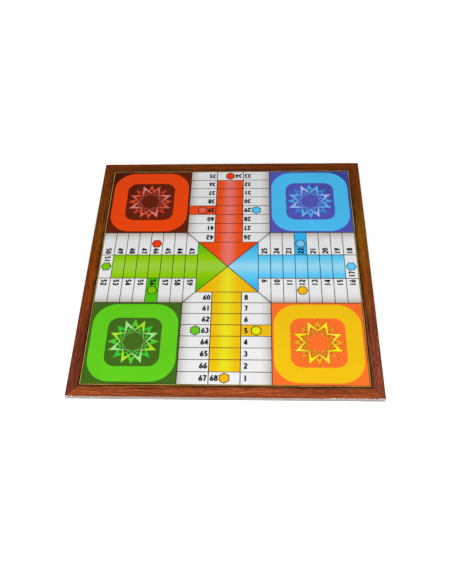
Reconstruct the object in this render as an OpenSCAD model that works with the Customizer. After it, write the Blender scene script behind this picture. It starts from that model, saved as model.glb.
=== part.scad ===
// Rigid square board for a cross-and-circle race game.
// A thick panel is edged with four thin bands, then a printed sheet is laid over
// the top and a plain backing sheet over the underside, and all of it is trimmed flush.
// The origin is the centre of the underside, +Z is up and -Y is the side nearest the viewer.

/* [Board] */
// Length of each side of the square board
board_side = 400; // [300:1:500]
// Thickness of the whole board, sheets included
board_t = 8; // [6:0.1:20]
// Radius of the four upright corners, trimmed after the bands are glued on
corner_r = 0.6; // [0.1:0.01:2]

/* [Sheets] */
// Thickness of the printed sheet on the playing face
playing_sheet_t = 0.3; // [0.1:0.01:1]
// Thickness of the plain sheet on the underside
backing_sheet_t = 0.25; // [0.1:0.01:1]

/* [Edge bands] */
// Thickness of the bands glued round the panel's cut edges
band_t = 0.8; // [0.3:0.01:3]

/* [Hidden] */
$fn = 48;

// The panel and its bands fill the height between the two sheets
panel_t = board_t - playing_sheet_t - backing_sheet_t;
panel_side = board_side - 2 * band_t;
// Offset of a band's centre line from the middle of the board
band_offset = (board_side - band_t) / 2;

// Plan of the finished board: a square whose corners are quarter circles
module board_outline() {
    inner_side = board_side - 2 * corner_r;
    square([inner_side, board_side], center = true);
    square([board_side, inner_side], center = true);
    for (x = [-1, 1], y = [-1, 1])
        translate([x * inner_side / 2, y * inner_side / 2])
            circle(r = corner_r);
}

// A layer of the board: what is drawn in plan is cut to the board's outline
module layer(bottom_z, thickness) {
    translate([0, 0, bottom_z])
        linear_extrude(height = thickness)
            intersection() {
                board_outline();
                children();
            }
}

// A band across the whole front or back, over the ends of the two side bands
module cross_band(side) {
    layer(backing_sheet_t, panel_t)
        translate([0, side * band_offset])
            square([board_side, band_t], center = true);
}

// A band along the left or right, between the front and back bands
module side_band(side) {
    layer(backing_sheet_t, panel_t)
        translate([side * band_offset, 0])
            square([band_t, panel_side], center = true);
}

// Wood-fibre panel that makes the board stiff
module core_panel() {
    color("burlywood")
        layer(backing_sheet_t, panel_t)
            square(panel_side, center = true);
}

// Sheet with the printed game, laid over the panel and the tops of the bands
module playing_sheet() {
    color("sienna")
        layer(board_t - playing_sheet_t, playing_sheet_t)
            square(board_side, center = true);
}

// Plain sheet under the board, which keeps the panel flat
module backing_sheet() {
    color("tan")
        layer(0, backing_sheet_t)
            square(board_side, center = true);
}

module edge_band_front() {
    color("silver") cross_band(-1);
}

module edge_band_back() {
    color("silver") cross_band(1);
}

module edge_band_left() {
    color("silver") side_band(-1);
}

module edge_band_right() {
    color("silver") side_band(1);
}

core_panel();
playing_sheet();
backing_sheet();
edge_band_front();
edge_band_back();
edge_band_left();
edge_band_right();
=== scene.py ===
"""Looks of a rigid race-game board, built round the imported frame.

The playing sheet is white paper under a thin layer of ink and clear film. The ink layer is cut
into plates, one piece for each ink, which lie side by side in one thickness, so every edge of
the print is a real edge. The panel, the backing sheet and the edge bands keep their own shapes.
"""

import bpy
import numpy as np
from mathutils import Matrix, Vector
from mathutils.geometry import delaunay_2d_cdt


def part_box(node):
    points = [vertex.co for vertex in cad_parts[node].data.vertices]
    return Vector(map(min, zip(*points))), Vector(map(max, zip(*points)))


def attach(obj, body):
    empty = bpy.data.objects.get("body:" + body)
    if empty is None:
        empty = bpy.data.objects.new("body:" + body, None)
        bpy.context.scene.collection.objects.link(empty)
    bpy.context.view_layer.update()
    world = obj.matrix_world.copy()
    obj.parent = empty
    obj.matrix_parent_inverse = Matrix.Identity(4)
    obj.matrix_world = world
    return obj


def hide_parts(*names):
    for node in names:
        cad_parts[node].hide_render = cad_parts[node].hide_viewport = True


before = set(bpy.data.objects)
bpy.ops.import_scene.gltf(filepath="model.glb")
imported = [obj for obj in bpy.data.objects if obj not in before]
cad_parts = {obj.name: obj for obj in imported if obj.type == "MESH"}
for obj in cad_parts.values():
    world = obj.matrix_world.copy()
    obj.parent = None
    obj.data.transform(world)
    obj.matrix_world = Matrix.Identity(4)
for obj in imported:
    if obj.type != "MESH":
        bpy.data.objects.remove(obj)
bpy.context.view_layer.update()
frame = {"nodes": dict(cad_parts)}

# Sizes are in millimetres, measured from the middle of the board, and become metres in the meshes.
# Print that ends at the board's edge is drawn past it and cut off there.
MM = 0.001
sheet_low, sheet_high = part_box("playing_sheet")
BOARD_HALF = sheet_high.x / MM
SHEET_BOTTOM = sheet_low.z / MM
SHEET_TOP = sheet_high.z / MM
CORNER_R = 0.6
INK_T = 0.06
PAST_EDGE = 1.0

# The cross of lanes: each arm is three lanes wide and seven cells long outside the homes
LANE = 40.5
CELL = 17.34
ARM_CELLS = 7
LANE_EDGE = LANE / 2
HOME_EDGE = 1.5 * LANE
CENTRE_HALF = HOME_EDGE - CELL
FIELD_HALF = HOME_EDGE + ARM_CELLS * CELL
SAFE_CELL = 4

# Lines round the field, from the inside out
INNER_LINE = 0.8
GOLD_LINE = 0.9
OUTER_LINE = 1.6
BORDER_HALF = FIELD_HALF + INNER_LINE + GOLD_LINE + OUTER_LINE
CELL_LINE = 1.0
LANE_LINE = 1.2
MITRE_LINE = 0.6

# Homes: a ring between two rounded squares, with a star in the middle. The star's strokes join each
# tip to the third tip after it, and its valleys lie where two strokes first cross.
HOME_CENTRE = (HOME_EDGE + FIELD_HALF) / 2
RING_HALF = 57.9
RING_R = 31.8
INNER_HALF = 36.3
INNER_R = 14.5
STAR_TIPS = 8
STAR_SKIP = 3
HALF_TIP_ANGLE = np.pi / STAR_TIPS
STAR_TIP = 34.0
STAR_VALLEY = STAR_TIP * np.cos(STAR_SKIP * HALF_TIP_ANGLE) / np.cos((STAR_SKIP - 1) * HALF_TIP_ANGLE)
STAR_HOLE_TIP = 25.0
STAR_VALLEY_BAND = 1.3
STAR_HOLE_VALLEY = STAR_VALLEY - STAR_VALLEY_BAND
STAR_LINE = 1.4
STAR_SHADE = 1.2
STAR_THREAD = 0.45
STAR_LINE_REACH = 0.97
STAR_DISC = 13.4
DISC_SIDES = 48

# Markers and numbers
MARKER_SIDES = 6
MARKER_R = 7.8
MARKER_LINE = 1.35
DIGIT_HEIGHT = 8.0
DIGIT_STEP = 5.3
DIGIT_MARGIN = 4.5
SINGLE_DIGIT_MARGIN = 6.6
STROKE = 0.27
CELLS_ROUND = 68
CELLS_PER_ARM = 17

ARC_STEPS = 13
QUARTER_TURN = np.array([[0, 1], [-1, 0]])
ARMS = ("yellow", "blue", "red", "green")


# Outlines, as arrays of points

def box_outline(left, bottom, right, top):
    """The four corners of an upright rectangle, anticlockwise."""
    return np.array([(left, bottom), (right, bottom), (right, top), (left, top)], float)


def round_points(centre, radius, start, turn, count):
    """Points on an arc: the centre plus the radius times the cosine and sine of even steps of angle."""
    angle = np.radians(start + turn * np.linspace(0, 1, count))
    return np.asarray(centre, float) + radius * np.stack([np.cos(angle), np.sin(angle)], axis=1)


def polygon(centre, radius, start, sides):
    """A regular polygon: points on a circle at even steps of angle."""
    return round_points(centre, radius, start, 360, sides + 1)[:-1]


def rounded_square(centre, half, radius):
    """A square whose corners are quarter circles about points set in from them by the radius."""
    corners = np.array([(1, 1), (-1, 1), (-1, -1), (1, -1)]) * (half - radius)
    arcs = [
        round_points(centre + corner, radius, 90 * quarter, 90, ARC_STEPS)
        for quarter, corner in enumerate(corners)
    ]
    return np.concatenate(arcs)


def ribbon(path, width):
    """A stroke's outline, anticlockwise: its path moved half the width to the right, then back along
    the left."""
    path = np.asarray(path, float)
    step = np.gradient(path, axis=0)
    side = np.stack([-step[:, 1], step[:, 0]], axis=1)
    side *= width / 2 / np.linalg.norm(step, axis=1, keepdims=True)
    return np.concatenate([path - side, (path + side)[::-1]])


def star_point(centre, turn, grow=0.0):
    """One point of a star as a bent band that is broad at its tip and thin at its two valleys. The
    band grows outwards by the given width along its whole edge."""
    angle = np.radians(turn + np.array([-1, 0, 1]) * 180 / STAR_TIPS)
    ray = np.stack([np.cos(angle), np.sin(angle)], axis=1)
    tip_grow = grow / np.sin(HALF_TIP_ANGLE)
    more = np.array([grow, tip_grow, grow])
    outer = ray * (np.array([STAR_VALLEY, STAR_TIP, STAR_VALLEY]) + more)[:, None]
    inner = ray * (np.array([STAR_HOLE_VALLEY, STAR_HOLE_TIP, STAR_HOLE_VALLEY]) - more)[:, None]
    return centre + np.concatenate([outer, inner[::-1]])


def star_line(centre, turn, width):
    """The straight stroke that joins a star's tip to the third tip after it, a little short of both."""
    angle = np.radians(turn + np.array([0, STAR_SKIP]) * 360 / STAR_TIPS)
    ray = np.stack([np.cos(angle), np.sin(angle)], axis=1)
    return ribbon(centre + STAR_TIP * STAR_LINE_REACH * ray, width)


# Digits: the strokes of each, in a cell one unit high whose middle is at x = 0

def loop(centre, radius):
    """A closed ring as two strokes, each a half turn with ten degrees more at both ends."""
    return [round_points(centre, radius, start, 200, ARC_STEPS) for start in (80, -100)]


SIX = [*loop((0, 0.3), 0.205), [(0.12, 0.99), (-0.185, 0.38)]]
DIGITS = {
    "0": loop((0, 0.5), (0.195, 0.4)),
    "1": [[(0, 0), (0, 1)]],
    "2": [
        np.concatenate([round_points((0, 0.7), 0.2, 165, -190, ARC_STEPS), [(-0.17, 0.12)]]),
        [(-0.27, 0.1), (0.28, 0.1)],
    ],
    "3": [
        round_points((-0.03, 0.72), 0.18, 150, -240, ARC_STEPS),
        round_points((-0.03, 0.32), 0.22, 90, -240, ARC_STEPS),
    ],
    "4": [[(0.1, 0), (0.1, 1)], [(0.09, 0.92), (-0.2, 0.3)], [(-0.31, 0.29), (0.3, 0.29)]],
    "5": [
        [(-0.2, 0.9), (0.22, 0.9)],
        [(-0.1, 0.98), (-0.14, 0.46)],
        round_points((-0.04, 0.32), 0.22, 125, -255, ARC_STEPS),
    ],
    "6": SIX,
    "7": [[(-0.27, 0.9), (0.27, 0.9)], [(0.18, 0.9), (-0.08, 0)]],
    "8": [*loop((0, 0.735), 0.165), *loop((0, 0.305), 0.205)],
    "9": [(0, 1) - np.asarray(stroke) for stroke in SIX],
}


def number_outlines(number, first_x, y):
    """A number's strokes: each digit is centred one step after the last, with its middle at y."""
    return [
        ribbon(stroke, STROKE) * DIGIT_HEIGHT + (first_x + i * DIGIT_STEP, y - DIGIT_HEIGHT / 2)
        for i, digit in enumerate(str(number))
        for stroke in DIGITS[digit]
    ]


# The print, laid down in order, so that a later shape covers an earlier one

printed = []


def lay(ink, outline, quarter=0):
    """Adds a shape in an ink, turned about the board's middle: its points times the quarter turn's
    matrix, raised to the number of quarters."""
    printed.append((ink, np.asarray(outline, float) @ np.linalg.matrix_power(QUARTER_TURN, quarter)))


def centred_square(half):
    """A square about the middle of the board."""
    return box_outline(-half, -half, half, half)


def cell_bottom(cell):
    """Lower edge of a cell of the lower arm, counted inwards from the field's edge."""
    return cell * CELL - FIELD_HALF


def lay_border():
    """Four mitred rails of printed wood, the lines between them, and the lines round the field. The
    rails reach past the board's edge, which cuts them off."""
    past = BOARD_HALF + PAST_EDGE
    for quarter, rail in enumerate(("front", "right", "back", "left")):
        corners = [(-past, -past), (past, -past), (BORDER_HALF, -BORDER_HALF), (-BORDER_HALF, -BORDER_HALF)]
        lay("wood_print_" + rail, corners, quarter)
    for quarter in range(4):
        lay("mitre_lines", ribbon([(BORDER_HALF, -BORDER_HALF), (past, -past)], MITRE_LINE), quarter)
    lay("border_lines", centred_square(BORDER_HALF))
    lay("gold_line", centred_square(BORDER_HALF - OUTER_LINE))
    lay("border_lines", centred_square(FIELD_HALF + INNER_LINE))
    lay("white_cells", centred_square(FIELD_HALF))


def lay_home(quarter, colour):
    """The home at the right of an arm: its field, its ring, and two stars a sixteenth of a turn apart."""
    middle = np.array([HOME_CENTRE, -HOME_CENTRE])
    lay(f"home_{colour}_field", box_outline(HOME_EDGE, -FIELD_HALF, FIELD_HALF, -HOME_EDGE), quarter)
    lay(f"home_{colour}_ring", rounded_square(middle, RING_HALF, RING_R), quarter)
    lay(f"home_{colour}_field", rounded_square(middle, INNER_HALF, INNER_R), quarter)
    for first_turn, tints in ((0, ("mid", "deep")), (180 / STAR_TIPS, ("pale", "bright"))):
        turns = first_turn + np.arange(STAR_TIPS) * 360 / STAR_TIPS
        for turn in turns:
            lay(f"home_{colour}_star_shade", star_line(middle, turn, STAR_LINE), quarter)
            lay(f"home_{colour}_star_shade", star_point(middle, turn, STAR_SHADE / 2), quarter)
        for turn in turns:
            lay(f"home_{colour}_star_{tints[0]}", star_line(middle, turn, STAR_THREAD), quarter)
        for tip, turn in enumerate(turns):
            lay(f"home_{colour}_star_{tints[tip % 2]}", star_point(middle, turn), quarter)
    lay(f"home_{colour}_field", polygon(middle, STAR_DISC, 0, DISC_SIDES), quarter)


def lay_arm(quarter, colour):
    """An arm's coloured lane with its triangle in the centre, and its coloured safe cell."""
    lane_start = cell_bottom(1)
    safe_bottom = cell_bottom(SAFE_CELL)
    lay("lane_" + colour, box_outline(-LANE_EDGE, lane_start, LANE_EDGE, -CENTRE_HALF), quarter)
    lay("lane_" + colour, [(-CENTRE_HALF, -CENTRE_HALF), (CENTRE_HALF, -CENTRE_HALF), (0, 0)], quarter)
    lay("start_cell_" + colour, box_outline(LANE_EDGE, safe_bottom, HOME_EDGE, safe_bottom + CELL), quarter)


def lay_lines(quarter):
    """An arm's cell lines, its lane lines and one diagonal from the centre to a home's corner."""
    for cell in range(1, ARM_CELLS + 1):
        y = cell_bottom(cell)
        lay("cell_lines", ribbon([(-HOME_EDGE, y), (HOME_EDGE, y)], CELL_LINE), quarter)
    triangle_base = [(-CENTRE_HALF, -CENTRE_HALF), (CENTRE_HALF, -CENTRE_HALF)]
    lay("cell_lines", ribbon(triangle_base, CELL_LINE), quarter)
    lay("cell_lines", ribbon([(0, 0), (HOME_EDGE, -HOME_EDGE)], LANE_LINE), quarter)
    for x, top in ((-LANE_EDGE, CENTRE_HALF), (LANE_EDGE, CENTRE_HALF), (-HOME_EDGE, HOME_EDGE)):
        lay("cell_lines", ribbon([(x, -FIELD_HALF), (x, -top)], LANE_LINE), quarter)
    lay("cell_lines", ribbon([(HOME_EDGE, -FIELD_HALF), (HOME_EDGE, -HOME_EDGE)], LANE_LINE), quarter)


def lay_marker(colour, fill, x, y, quarter):
    """A hexagon that points along the arm, with a darker edge."""
    lay("marker_edge_" + colour, polygon((x, y), MARKER_R, 90, MARKER_SIDES), quarter)
    lay(fill, polygon((x, y), MARKER_R - MARKER_LINE, 90, MARKER_SIDES), quarter)


def lay_signs(quarter, colour, colour_before):
    """An arm's three hexagons and its seventeen numbers. The right-hand lane counts inwards from the
    arm's first number, the end cell between the lanes has the number before it, and the left-hand
    lane counts down from the number before that."""
    safe_y = cell_bottom(SAFE_CELL + 0.5)
    lay_marker(colour, "end_marker_" + colour, 0, cell_bottom(0.5), quarter)
    lay_marker(colour, "start_marker_" + colour, LANE, safe_y, quarter)
    lay_marker(colour_before, "marker_" + colour_before, -LANE, safe_y, quarter)
    first = CELLS_PER_ARM * quarter
    signs = []
    for cell in range(ARM_CELLS + 1):
        y = cell_bottom(cell + 0.5)
        right = first + 1 + cell
        left = (first + CELLS_ROUND - 2 - cell) % CELLS_ROUND + 1
        margin = SINGLE_DIGIT_MARGIN if len(str(right)) == 1 else DIGIT_MARGIN
        signs.append((right, LANE_EDGE + margin, y))
        signs.append((left, -LANE_EDGE - DIGIT_MARGIN - DIGIT_STEP * (len(str(left)) - 1), y))
    middle = (first + CELLS_ROUND - 1) % CELLS_ROUND + 1
    signs.append((middle, DIGIT_MARGIN - LANE_EDGE, cell_bottom(0.5)))
    for sign in signs:
        for outline in number_outlines(*sign):
            lay("numbers", outline, quarter)


# Chips of ink lost along the front edge: where each group starts, how far it reaches, and its count.
# Each chip has a length and a depth between two values, and its inner corners stand at two shares of
# its length.
CHIP_SEED = 11
CHIP_GROUPS = ((196.5, -72, 70), (-199, 22, 9))
CHIP_CROWDING = 1.7
CHIP_LENGTH = (0.6, 2.6)
CHIP_DEPTH = (0.35, 0.85)
CHIP_CORNERS = (0.8, 0.3)


def lay_chips():
    """Small losses of ink along the front edge: many near the right-hand corner, a few at the left.
    They start at the group's corner plus its reach times a random share raised to a power, so that
    they crowd towards the corner."""
    rng = np.random.default_rng(CHIP_SEED)
    outer = -BOARD_HALF - PAST_EDGE
    for corner, reach, count in CHIP_GROUPS:
        start = corner + reach * rng.random(count) ** CHIP_CROWDING
        length = rng.uniform(*CHIP_LENGTH, count)
        depth = rng.uniform(*CHIP_DEPTH, count)
        for x, run, deep in zip(start, length, depth, strict=True):
            inner_corners = [(x + share * run, deep - BOARD_HALF) for share in CHIP_CORNERS]
            lay("bare", [(x, outer), (x + run, outer), *inner_corners])


lay_border()
for arm, arm_colour in enumerate(ARMS):
    lay_home(arm, arm_colour)
    lay_arm(arm, arm_colour)
for arm in range(len(ARMS)):
    lay_lines(arm)
for arm, arm_colour in enumerate(ARMS):
    lay_signs(arm, arm_colour, ARMS[arm - 1])
lay_chips()


# Plates

def new_piece(name, vertices, faces):
    """A mesh object in metres that moves with the board."""
    mesh = bpy.data.meshes.new(name)
    mesh.from_pydata(vertices * MM, [], faces)
    mesh.update()
    piece = bpy.data.objects.new(name, mesh)
    bpy.context.scene.collection.objects.link(piece)
    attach(piece, "root")
    return piece


def plate(name, points, triangles, bottom, top):
    """A closed flat plate: the triangles on top, the same turned over below, and a wall wherever
    an edge belongs to one triangle only."""
    edges = triangles[:, [0, 1, 1, 2, 2, 0]].reshape(-1, 2)
    _, which, uses = np.unique(np.sort(edges, axis=1), axis=0, return_inverse=True, return_counts=True)
    rim = edges[uses[which.ravel()] == 1]
    used, renumbered = np.unique(np.concatenate([triangles.ravel(), rim.ravel()]), return_inverse=True)
    triangles = renumbered[: triangles.size].reshape(-1, 3)
    rim = renumbered[triangles.size:].reshape(-1, 2)
    count = len(used)
    flat = points[used]
    vertices = np.concatenate([
        np.column_stack([flat, np.full(count, top)]),
        np.column_stack([flat, np.full(count, bottom)]),
    ])
    walls = np.column_stack([rim[:, 0] + count, rim[:, 1] + count, rim[:, 1], rim[:, 0]])
    faces = triangles.tolist() + (triangles[:, ::-1] + count).tolist() + walls.tolist()
    return new_piece(name, vertices, faces)


def split_into_inks(board):
    """Cuts the board's outline along every printed shape, and gives the points, the triangles and,
    for each triangle, the number of the last shape that covers it."""
    outlines = [board, *(outline for _, outline in printed)]
    sizes = np.array([len(outline) for outline in outlines])
    starts = np.cumsum(sizes) - sizes
    loops = [list(range(start, start + size)) for start, size in zip(starts, sizes, strict=True)]
    corners = [Vector(point) for point in np.concatenate(outlines)]
    inside_only, same_point = 1, 1e-6
    cut = delaunay_2d_cdt(corners, [], loops, inside_only, same_point, True)
    points, _, triangles, _, _, covers = cut
    points = np.array(points, float)
    triangles = np.array(triangles)
    on_board = np.array([0 in cover for cover in covers])
    top_shape = np.array([max(cover, default=0) for cover in covers])
    a, b, c = (points[triangles[:, i]] for i in range(3))
    turned_over = np.cross(b - a, c - a) < 0
    triangles[turned_over] = triangles[turned_over, ::-1]
    return points, triangles[on_board], top_shape[on_board]


board_outline = rounded_square((0, 0), BOARD_HALF, CORNER_R)
points, triangles, top_shape = split_into_inks(board_outline)
inks = sorted({ink for ink, _ in printed})

# Shape 0 is the board's own outline, which the print covers everywhere, so its ink is never used
shape_ink = np.array([0] + [inks.index(ink) for ink, _ in printed])
plates = {}
for index, ink in enumerate(inks):
    chosen = triangles[shape_ink[top_shape] == index]
    if ink != "bare" and len(chosen):
        plates[ink] = plate(ink, points, chosen, SHEET_TOP - INK_T, SHEET_TOP)
paper_faces = np.array([(0, i, i + 1) for i in range(1, len(board_outline) - 1)])
plates["sheet_paper"] = plate(
    "sheet_paper", board_outline, paper_faces, SHEET_BOTTOM, SHEET_TOP - INK_T
)
for piece in plates.values():
    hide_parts("playing_sheet")


# Finishes

# Nearly all of a noise's values lie in this range. A noise's scale is in cells to the metre.
NOISE_RANGE = (0.3, 0.7)
SHINE_SCALE = 60.0


def linear(red, green, blue):
    """A colour on the usual scale of 0 to 255, as the linear values that a shader takes: straight at
    the dark end of the sRGB curve, and a power of 2.4 above it."""
    share = np.array([red, green, blue]) / 255
    return (*np.where(share <= 0.04045, share / 12.92, ((share + 0.055) / 1.055) ** 2.4), 1.0)


class Finish:
    """A material with one principled shader, and short calls that add and join its nodes."""

    def __init__(self, name):
        self.material = bpy.data.materials.new(name)
        self.material.use_nodes = True
        self.nodes = self.material.node_tree.nodes
        self.links = self.material.node_tree.links
        self.shader = self.nodes["Principled BSDF"]
        self.place = self.nodes.new("ShaderNodeTexCoord").outputs["Object"]

    def add(self, kind, inputs=(), **settings):
        """A node of a kind, with settings and with values or links for its inputs."""
        made = self.nodes.new("ShaderNode" + kind)
        for key, value in settings.items():
            setattr(made, key, value)
        for key, value in dict(inputs).items():
            self.join(value, made.inputs[key])
        return made

    def join(self, value, socket):
        """A link if the value is another node's output, otherwise the socket's own value."""
        if isinstance(value, bpy.types.NodeSocket):
            self.links.new(value, socket)
        else:
            socket.default_value = value

    def math(self, operation, first, second=0.0):
        """One sum, difference, product or the like."""
        return self.add("Math", {0: first, 1: second}, operation=operation).outputs[0]

    def axes(self, place):
        """The outputs X, Y and Z of a place."""
        return self.add("SeparateXYZ", {"Vector": place}).outputs

    def away(self):
        """The distance from the middle of the board."""
        return self.add("VectorMath", {0: self.place}, operation="LENGTH").outputs["Value"]

    def turned(self, turn):
        """The place on the board, turned about the upright axis."""
        return self.add("Mapping", {"Vector": self.place, "Rotation": (0, 0, turn)}).outputs[0]

    def stretched(self, scale, turn=0.0):
        """The place on the board, turned and then stretched."""
        return self.add("Mapping", {"Vector": self.turned(turn), "Scale": scale}).outputs[0]

    def noise(self, vector, scale=1.0, detail=2.0, roughness=0.5, distortion=0.0):
        """Cloudy values from 0 to 1 about a middle of one half."""
        inputs = {"Vector": vector, "Scale": scale, "Detail": detail}
        inputs.update({"Roughness": roughness, "Distortion": distortion})
        return self.add("TexNoise", inputs).outputs["Fac"]

    def span(self, value, low, high, to_low=0.0, to_high=1.0):
        """The value carried from one range to another, and held at its ends."""
        inputs = {"Value": value, "From Min": low, "From Max": high, "To Min": to_low, "To Max": to_high}
        return self.add("MapRange", inputs).outputs["Result"]

    def swing(self, noise, low, high):
        """A noise carried from its usual range to another."""
        return self.span(noise, *NOISE_RANGE, low, high)

    def ramp(self, factor, places, colours):
        """A colour that goes through the colours, each at its place from 0 to 1."""
        made = self.add("ValToRGB", {"Fac": factor})
        stops = made.color_ramp.elements
        while len(stops) < len(places):
            stops.new(0.5)
        for stop, place, colour in zip(stops, places, colours, strict=True):
            stop.position = place
            stop.color = linear(*colour)
        return made.outputs["Color"]

    def mix(self, factor, first, second, blend="MIX"):
        """Two colours mixed or blended by a factor."""
        made = self.add("Mix", data_type="RGBA", blend_type=blend)
        self.join(factor, made.inputs["Factor"])
        self.join(first, made.inputs["A"])
        self.join(second, made.inputs["B"])
        return made.outputs["Result"]

    def oval(self, along, across, centre, half):
        """Squared distance from an oval's centre, which is one at its rim."""
        terms = [
            self.math("POWER", self.math("DIVIDE", self.math("SUBTRACT", value, middle), reach), 2.0)
            for value, middle, reach in zip((along, across), centre, half, strict=True)
        ]
        return self.math("ADD", *terms)

    def dim(self, colour, amount):
        """A colour times a grey value."""
        grey = self.add("CombineColor", dict.fromkeys(range(3), amount)).outputs[0]
        return self.mix(1.0, colour, grey, "MULTIPLY")

    def product(self, *factors):
        """Several values multiplied together."""
        total = factors[0]
        for factor in factors[1:]:
            total = self.math("MULTIPLY", total, factor)
        return total

    def relief(self, height, strength, distance):
        """Fine relief from a height."""
        bump = self.add("Bump", {"Height": height, "Strength": strength, "Distance": distance})
        self.links.new(bump.outputs["Normal"], self.shader.inputs["Normal"])

    def paint(self, colour):
        """The shader's own colour."""
        self.join(colour, self.shader.inputs["Base Color"])

    def shine(self, low, high):
        """Roughness that wanders between two values."""
        wander = self.noise(self.place, SHINE_SCALE, detail=3.0)
        self.join(self.swing(wander, low, high), self.shader.inputs["Roughness"])


# Scales, strengths and ranges of each finish. A drawn-out noise has a scale for each axis.
FILM_ROUGHNESS = (0.30, 0.40)
FILM_SPECULAR = 0.22
FILM_RIPPLE_SCALE = 700.0
FILM_RIPPLE_STRENGTH = 0.06
FILM_RIPPLE_DEPTH = 0.00004
INK_CLOUD_SCALE = 18.0
INK_CLOUD = (0.965, 1.035)
INK_MOTTLE_SCALE = 1100.0
INK_MOTTLE_RANGE = (0.2, 0.8)
INK_MOTTLE = (0.96, 1.04)
GOLD_SCALE = 45.0
PAPER_FIBRES = (260, 1500, 1)
PAPER_CROSSING_FIBRES = (1500, 320, 1)
PAPER_DETAIL, PAPER_COARSENESS, PAPER_DISTORTION = 3.0, 0.6, 0.8
PAPER_CLOUD_SCALE = 9.0
PAPER_CLOUD = (0.95, 1.05)
PAPER_ROUGHNESS = (0.72, 0.86)
PAPER_RELIEF_STRENGTH = 0.25
PAPER_RELIEF_DEPTH = 0.00005
BAND_MARKS = (60, 60, 2600)
BAND_MARK_SHADE = (0.96, 1.03)
BAND_SMUDGE_SCALE = 17.0
BAND_SMUDGE_RANGE = (0.35, 0.68)
BAND_SMUDGE_SHADE = (1.08, 0.82)
BAND_ROUGHNESS = (0.40, 0.55)
BAND_RELIEF_STRENGTH = 0.1
BAND_RELIEF_DEPTH = 0.00004
FIBREBOARD_FLECKS = (700, 700, 1400)
FIBREBOARD_ROUGHNESS = (0.8, 0.9)

# Printed wood. Each layer of its grain has a noise's scales along the rail, across it and upwards,
# the noise's detail, roughness and distortion, a range of its values, and the shades at their ends.
WOOD_GRAIN = {
    "streaks": ((45, 640, 1), (2.0, 0.6, 0.3), (0.32, 0.68), (0.56, 1.5)),
    "bands": ((7, 170, 1), (3.0, 0.55, 0.5), NOISE_RANGE, (0.84, 1.16)),
    "dashes": ((150, 1050, 1), (2.0, 0.6, 0.0), NOISE_RANGE, (0.56, 1.44)),
    "pores": ((120, 2600, 1), (1.0, 0.5, 0.0), (0.6, 0.72), (1.0, 0.45)),
}
RUDDY_RANGE = (0.35, 0.65)
RUDDY_TINT = (0.82, 0.74, 0.66, 1)

# A dark and a pale figure: each oval's middle and reach along the rail and across it, in metres, and
# its shade in the middle, which fades between two squared distances from there
WOOD_FIGURES = (
    ((-0.100, 0.1886), (0.026, 0.0010), 0.3),
    ((-0.100, 0.1866), (0.045, 0.0007), 1.5),
)
FIGURE_FADE = (0.3, 1.8)

# Shade along a rail's inner and outer edges, and how far it reaches, in millimetres
INNER_EDGE_SHADE, INNER_EDGE_REACH = 0.52, 5.0
OUTER_EDGE_SHADE, OUTER_EDGE_REACH = 0.7, 2.5


def film(finish):
    """Clear satin film over ink: a fairly smooth surface with a faint ripple."""
    finish.shine(*FILM_ROUGHNESS)
    ripple = finish.noise(finish.place, FILM_RIPPLE_SCALE)
    finish.relief(ripple, FILM_RIPPLE_STRENGTH, FILM_RIPPLE_DEPTH)
    finish.shader.inputs["Specular IOR Level"].default_value = FILM_SPECULAR


def inked(finish, colour):
    """Ink on paper: the colour with a faint cloudiness and a fine mottle."""
    cloud = finish.noise(finish.place, INK_CLOUD_SCALE, detail=3.0)
    mottle = finish.noise(finish.place, INK_MOTTLE_SCALE, detail=1.0)
    shade = finish.product(
        finish.swing(cloud, *INK_CLOUD),
        finish.span(mottle, *INK_MOTTLE_RANGE, *INK_MOTTLE),
    )
    finish.paint(finish.dim(colour, shade))
    film(finish)


def flat_ink(name, colour):
    """One ink of an even colour."""
    finish = Finish(name)
    inked(finish, linear(*colour))
    return finish.material


def lane_ink(name, quarter, middle, side, deep):
    """Ink that is palest along the middle of an arm and deepens towards the sides."""
    finish = Finish(name)
    across = finish.math("ABSOLUTE", finish.axes(finish.place)["Y" if quarter % 2 else "X"])
    share = finish.math("DIVIDE", across, CENTRE_HALF * MM)
    inked(finish, finish.ramp(share, LANE_PLACES, (middle, middle, side, deep)))
    return finish.material


def field_ink(name, near, far):
    """Ink of a home's field, which goes from one tone to another with the distance from the board's
    middle."""
    finish = Finish(name)
    inked(finish, finish.ramp(finish.span(finish.away(), *HOME_FIELD_REACH), (0, 1), (near, far)))
    return finish.material


def white_ink(name):
    """White cells that turn warm grey where a lane ends beside a home."""
    finish = Finish(name)
    x_away, y_away = (finish.math("ABSOLUTE", finish.axes(finish.place)[axis]) for axis in "XY")
    share = finish.math("DIVIDE", finish.math("MINIMUM", x_away, y_away), HOME_EDGE * MM)
    inked(finish, finish.ramp(share, WHITE_PLACES, WHITES))
    return finish.material


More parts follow.
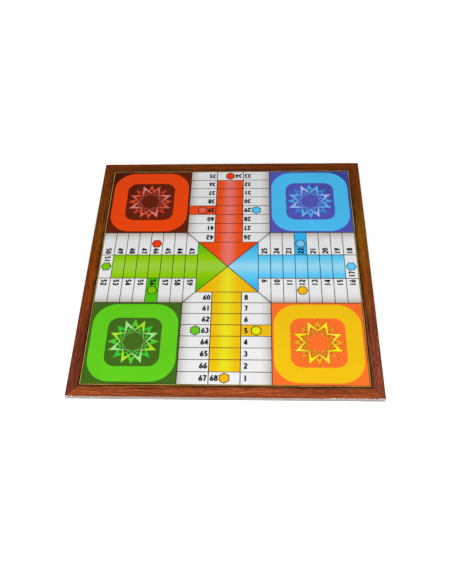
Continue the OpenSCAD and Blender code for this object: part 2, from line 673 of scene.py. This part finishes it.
def wood_ink(name, quarter, near, middle, far):
    """Printed mahogany whose grain runs along its rail. The tone goes from near at the front of the
    board through middle and far to the back rail's brown, and turns ruddy where a band of the grain
    is dark. The shades of the grain's layers, of the figures and of the rail's edges multiply it."""
    finish = Finish(name)
    turn = -np.pi / 2 * quarter
    grain = {}
    shades = []
    for layer, (scales, noise, ends, shades_at_ends) in WOOD_GRAIN.items():
        grain[layer] = finish.noise(finish.stretched(scales, turn), 1.0, *noise)
        shades.append(finish.span(grain[layer], *ends, *shades_at_ends))
    rail = finish.axes(finish.turned(turn))
    along, across = rail["X"], finish.math("MULTIPLY", rail["Y"], -1.0)
    for centre, reach, shade in WOOD_FIGURES:
        figure = finish.oval(along, across, centre, reach)
        shades.append(finish.span(figure, *FIGURE_FADE, shade, 1.0))
    inner_edge = (BORDER_HALF * MM, (BORDER_HALF + INNER_EDGE_REACH) * MM)
    outer_edge = ((BOARD_HALF - OUTER_EDGE_REACH) * MM, BOARD_HALF * MM)
    shades.append(finish.span(across, *inner_edge, INNER_EDGE_SHADE, 1.0))
    shades.append(finish.span(across, *outer_edge, 1.0, OUTER_EDGE_SHADE))
    depth = finish.span(finish.axes(finish.place)["Y"], -WOOD_TONE_REACH, WOOD_TONE_REACH)
    tone = finish.ramp(depth, WOOD_PLACES, (near, middle, far, BACK_BROWN))
    ruddy = finish.mix(1.0, tone, RUDDY_TINT, "MULTIPLY")
    tone = finish.mix(finish.span(grain["bands"], *RUDDY_RANGE), ruddy, tone)
    finish.paint(finish.dim(tone, finish.product(*shades)))
    film(finish)
    return finish.material


def gold_ink(name):
    """Dull gold line with slow changes of tone."""
    finish = Finish(name)
    finish.paint(finish.ramp(finish.noise(finish.place, GOLD_SCALE), NOISE_RANGE, GOLDS))
    film(finish)
    return finish.material


def paper_finish(name, colour, fibre_strength):
    """Uncoated paper: short fibres in two directions, a little cloudiness, and a matt surface."""
    finish = Finish(name)
    fibres, crossing = (
        finish.noise(finish.stretched(scales), 1.0, PAPER_DETAIL, PAPER_COARSENESS, PAPER_DISTORTION)
        for scales in (PAPER_FIBRES, PAPER_CROSSING_FIBRES)
    )
    cloud = finish.noise(finish.place, PAPER_CLOUD_SCALE, detail=4.0)
    low, high = 1 - fibre_strength, 1 + fibre_strength
    shade = finish.product(
        finish.swing(fibres, low, high),
        finish.swing(crossing, low, high),
        finish.swing(cloud, *PAPER_CLOUD),
    )
    finish.paint(finish.dim(linear(*colour), shade))
    finish.shine(*PAPER_ROUGHNESS)
    finish.relief(fibres, PAPER_RELIEF_STRENGTH, PAPER_RELIEF_DEPTH)
    return finish.material


def band_finish(name):
    """Pale edge banding: fine marks along the trimmed edge and faint grey smudges."""
    finish = Finish(name)
    marks = finish.noise(finish.stretched(BAND_MARKS))
    smudge = finish.noise(finish.place, BAND_SMUDGE_SCALE, detail=4.0, roughness=0.6)
    shade = finish.product(
        finish.swing(marks, *BAND_MARK_SHADE),
        finish.span(smudge, *BAND_SMUDGE_RANGE, *BAND_SMUDGE_SHADE),
    )
    finish.paint(finish.dim(linear(*BAND_GREY), shade))
    finish.shine(*BAND_ROUGHNESS)
    finish.relief(marks, BAND_RELIEF_STRENGTH, BAND_RELIEF_DEPTH)
    return finish.material


def fibreboard_finish(name):
    """Raw wood-fibre board: fine tan flecks."""
    finish = Finish(name)
    flecks = finish.noise(finish.stretched(FIBREBOARD_FLECKS), detail=3.0, roughness=0.7)
    finish.paint(finish.ramp(flecks, NOISE_RANGE, FIBREBOARD_TANS))
    finish.shine(*FIBREBOARD_ROUGHNESS)
    return finish.material


def cover(piece, material):
    """Gives a piece one material."""
    piece.data.materials.clear()
    piece.data.materials.append(material)


# Colours, each on the usual scale of 0 to 255. A lane has a middle, a side and a deep tone, at these
# shares of the way out to the corner of its triangle.
LANE_PLACES = (0.0, 0.05, 0.3, 0.8)
LANES = {
    "yellow": ((236, 225, 32), (239, 194, 12), (243, 180, 0)),
    "blue": ((154, 221, 248), (102, 207, 250), (56, 182, 242)),
    "red": ((240, 120, 108), (243, 81, 16), (238, 71, 3)),
    "green": ((158, 212, 62), (148, 207, 0), (88, 192, 0)),
}

# The field of a home has a tone near the middle of the board and one far from it, in metres
HOME_FIELD_REACH = (0.18, 0.25)
HOME_FIELDS = {
    "yellow": ((250, 112, 41), (251, 116, 43)),
    "blue": ((84, 88, 188), (68, 70, 158)),
    "red": ((103, 29, 0), (78, 18, 0)),
    "green": ((66, 105, 26), (58, 106, 26)),
}

# White cells, by the share of the way from the nearer midline to a home
WHITE_PLACES = (0.0, 0.76, 0.88, 1.0)
WHITES = ((238, 238, 240), (235, 235, 236), (219, 216, 214), (184, 177, 170))

# The gold line, the papers with the strength of their fibres, the bands and the panel
GOLDS = ((160, 130, 40), (208, 176, 84))
WHITE_PAPER = (236, 233, 228)
BACKING_PAPER = (176, 160, 140)
WHITE_FIBRES = 0.02
BACKING_FIBRES = 0.12
BAND_GREY = (149, 140, 134)
FIBREBOARD_TANS = ((132, 98, 66), (186, 150, 108))

# Even inks, by the pieces that they colour
FLAT_INKS = {
    "home_yellow_ring": (241, 193, 14),
    "home_yellow_star_shade": (150, 82, 10),
    "home_yellow_star_mid": (242, 166, 24),
    "home_yellow_star_deep": (244, 140, 40),
    "home_yellow_star_bright": (252, 232, 24),
    "home_yellow_star_pale": (250, 226, 60),
    "home_blue_ring": (76, 195, 248),
    "home_blue_star_shade": (66, 104, 200),
    "home_blue_star_mid": (74, 172, 240),
    "home_blue_star_deep": (66, 140, 225),
    "home_blue_star_bright": (110, 190, 245),
    "home_blue_star_pale": (165, 195, 250),
    "home_red_ring": (242, 70, 4),
    "home_red_star_shade": (98, 26, 8),
    "home_red_star_mid": (222, 74, 26),
    "home_red_star_deep": (196, 58, 28),
    "home_red_star_bright": (224, 96, 76),
    "home_red_star_pale": (230, 130, 125),
    "home_green_ring": (96, 204, 26),
    "home_green_star_shade": (58, 120, 40),
    "home_green_star_mid": (84, 206, 44),
    "home_green_star_deep": (50, 200, 50),
    "home_green_star_bright": (165, 228, 40),
    "home_green_star_pale": (160, 228, 130),
    "start_cell_yellow": (238, 187, 20),
    "start_cell_blue": (52, 184, 246),
    "start_cell_red": (243, 74, 12),
    "start_cell_green": (80, 192, 6),
    "start_marker_yellow": (234, 232, 20),
    "start_marker_blue": (128, 205, 246),
    "start_marker_red": (236, 102, 86),
    "start_marker_green": (130, 198, 2),
    "end_marker_yellow": (240, 184, 14),
    "end_marker_blue": (94, 211, 252),
    "end_marker_red": (242, 63, 4),
    "end_marker_green": (127, 202, 0),
    "marker_yellow": (246, 187, 4),
    "marker_blue": (81, 203, 248),
    "marker_red": (244, 65, 4),
    "marker_green": (109, 203, 26),
    "marker_edge_yellow": (46, 34, 6),
    "marker_edge_blue": (6, 36, 60),
    "marker_edge_red": (60, 8, 0),
    "marker_edge_green": (12, 40, 4),
    "cell_lines": (44, 38, 34),
    "mitre_lines": (70, 32, 16),
    "border_lines": (26, 20, 8),
    "numbers": (22, 22, 26),
}

# A rail's quarter turn, and its near, middle and far tones. The tones' places are shares of the way
# from the front to the back, within a reach in metres from the board's middle.
WOOD_TONE_REACH = 0.18
WOOD_PLACES = (0.1, 0.45, 0.7, 0.95)
BACK_BROWN = (123, 54, 0)
WOOD_RAILS = {
    "front": (0, (158, 78, 39), (158, 78, 39), (158, 78, 39)),
    "right": (1, (139, 69, 47), (139, 69, 8), (130, 82, 0)),
    "back": (2, BACK_BROWN, BACK_BROWN, BACK_BROWN),
    "left": (3, (121, 56, 36), (132, 60, 0), (132, 73, 0)),
}

for ink, colour in FLAT_INKS.items():
    cover(plates[ink], flat_ink("ink_" + ink, colour))
for arm, arm_colour in enumerate(ARMS):
    cover(plates["lane_" + arm_colour], lane_ink("ink_lane_" + arm_colour, arm, *LANES[arm_colour]))
    field = f"home_{arm_colour}_field"
    cover(plates[field], field_ink("ink_" + field, *HOME_FIELDS[arm_colour]))
for rail, settings in WOOD_RAILS.items():
    cover(plates["wood_print_" + rail], wood_ink("ink_wood_" + rail, *settings))
cover(plates["white_cells"], white_ink("ink_white"))
cover(plates["gold_line"], gold_ink("ink_gold"))
cover(plates["sheet_paper"], paper_finish("white_paper", WHITE_PAPER, WHITE_FIBRES))

nodes = frame["nodes"]
cover(nodes["backing_sheet"], paper_finish("backing_paper", BACKING_PAPER, BACKING_FIBRES))
cover(nodes["core_panel"], fibreboard_finish("fibreboard"))
band_material = band_finish("edge_banding")
for side in ("front", "back", "left", "right"):
    cover(nodes["edge_band_" + side], band_material)


# Floor, light and camera

# The floor's reach and drop are in millimetres. Its glow, which the camera and reflections see but
# which doesn't light the board, goes from near to far between two distances in metres. The sky goes
# from a strength of 1 to its overhead strength between two heights on a sphere of radius 1, and the
# two lamps stand at mirrored places, in metres.
FLOOR_REACH = 6000.0
FLOOR_DROP = 0.05
FLOOR_GREY = 0.8
FLOOR_ROUGHNESS = 0.9
NEAR_GLOW = 0.42
FAR_GLOW = 0.85
GLOW_FADE = (0.2, 0.4)
OVERHEAD = 0.1
SKY_FADE = (0.33, 0.53)
LAMP_X, LAMP_Y, LAMP_Z = 0.55, -0.85, 1.0
LAMP_SIZE = 0.9
LAMP_POWER = 10.6


def studio_floor():
    """A wide pale floor that the board lies on, a hair lower than the underside."""
    mesh = bpy.data.meshes.new("floor")
    corners = np.column_stack([centred_square(FLOOR_REACH), np.full(4, -FLOOR_DROP)])
    mesh.from_pydata(corners * MM, [], [(0, 1, 2, 3)])
    floor = bpy.data.objects.new("floor", mesh)
    bpy.context.scene.collection.objects.link(floor)
    finish = Finish("floor_white")
    finish.paint((FLOOR_GREY, FLOOR_GREY, FLOOR_GREY, 1))
    finish.shader.inputs["Roughness"].default_value = FLOOR_ROUGHNESS
    finish.shader.inputs["Specular IOR Level"].default_value = 0.0
    finish.shader.inputs["Emission Color"].default_value = (1, 1, 1, 1)
    rays = finish.add("LightPath").outputs
    seen = finish.math("ADD", rays["Is Camera Ray"], rays["Is Glossy Ray"])
    seen = finish.math("ADD", seen, rays["Is Transmission Ray"])
    glow = finish.math("MULTIPLY", seen, finish.span(finish.away(), *GLOW_FADE, NEAR_GLOW, FAR_GLOW))
    finish.join(glow, finish.shader.inputs["Emission Strength"])
    cover(floor, finish.material)


def soft_light(name, place, target, size, power):
    """A square area light that faces a point, and that the camera doesn't see."""
    lamp = bpy.data.lights.new(name, "AREA")
    lamp.size = size
    lamp.energy = power
    made = bpy.data.objects.new(name, lamp)
    made.location = place
    made.rotation_euler = (Vector(target) - Vector(place)).to_track_quat("-Z", "Y").to_euler()
    made.visible_camera = False
    bpy.context.scene.collection.objects.link(made)


def studio_light():
    """White light that is brightest at the horizon, and two broad lamps over the front of the board."""
    world = bpy.data.worlds.new("studio")
    world.use_nodes = True
    nodes, links = world.node_tree.nodes, world.node_tree.links
    direction = nodes.new("ShaderNodeTexCoord")
    height = nodes.new("ShaderNodeSeparateXYZ")
    strength = nodes.new("ShaderNodeMapRange")
    low, high = SKY_FADE
    for key, value in {"From Min": low, "From Max": high, "To Min": 1.0, "To Max": OVERHEAD}.items():
        strength.inputs[key].default_value = value
    background = nodes["Background"]
    background.inputs["Color"].default_value = (1, 1, 1, 1)
    links.new(direction.outputs["Generated"], height.inputs[0])
    links.new(height.outputs["Z"], strength.inputs["Value"])
    links.new(strength.outputs["Result"], background.inputs["Strength"])
    bpy.context.scene.world = world
    for name, side in (("left_lamp", -1), ("right_lamp", 1)):
        soft_light(name, (side * LAMP_X, LAMP_Y, LAMP_Z), (0, 0, 0), LAMP_SIZE, LAMP_POWER)


def photograph_camera():
    """The camera at the photograph's place: 0.89 m away, looking down by 56.7 degrees, with a focal
    length of 630 pixels where the long side of the frame holds 584."""
    focal_pixels, long_side_pixels, sensor_width = 629.9, 584, 36
    place = Vector((0.0392, -0.5177, 0.7256 + SHEET_TOP * MM))
    elevation, azimuth, roll = np.radians((56.728, -4.853, 3.923))
    level = np.cos(elevation)
    forward = Vector((np.sin(azimuth) * level, np.cos(azimuth) * level, -np.sin(elevation)))
    level_right = forward.cross(Vector((0, 0, 1))).normalized()
    right = Matrix.Rotation(roll, 3, forward) @ level_right
    up = right.cross(forward)
    camera = bpy.data.objects.new("camera", bpy.data.cameras.new("camera"))
    camera.data.sensor_width = sensor_width
    camera.data.lens = sensor_width * focal_pixels / long_side_pixels
    camera.data.clip_start = 0.01
    camera.matrix_world = Matrix.Translation(place) @ Matrix((right, up, -forward)).transposed().to_4x4()
    bpy.context.scene.collection.objects.link(camera)
    bpy.context.scene.camera = camera


studio_floor()
studio_light()
photograph_camera()
bpy.context.scene.view_settings.view_transform = "Standard"
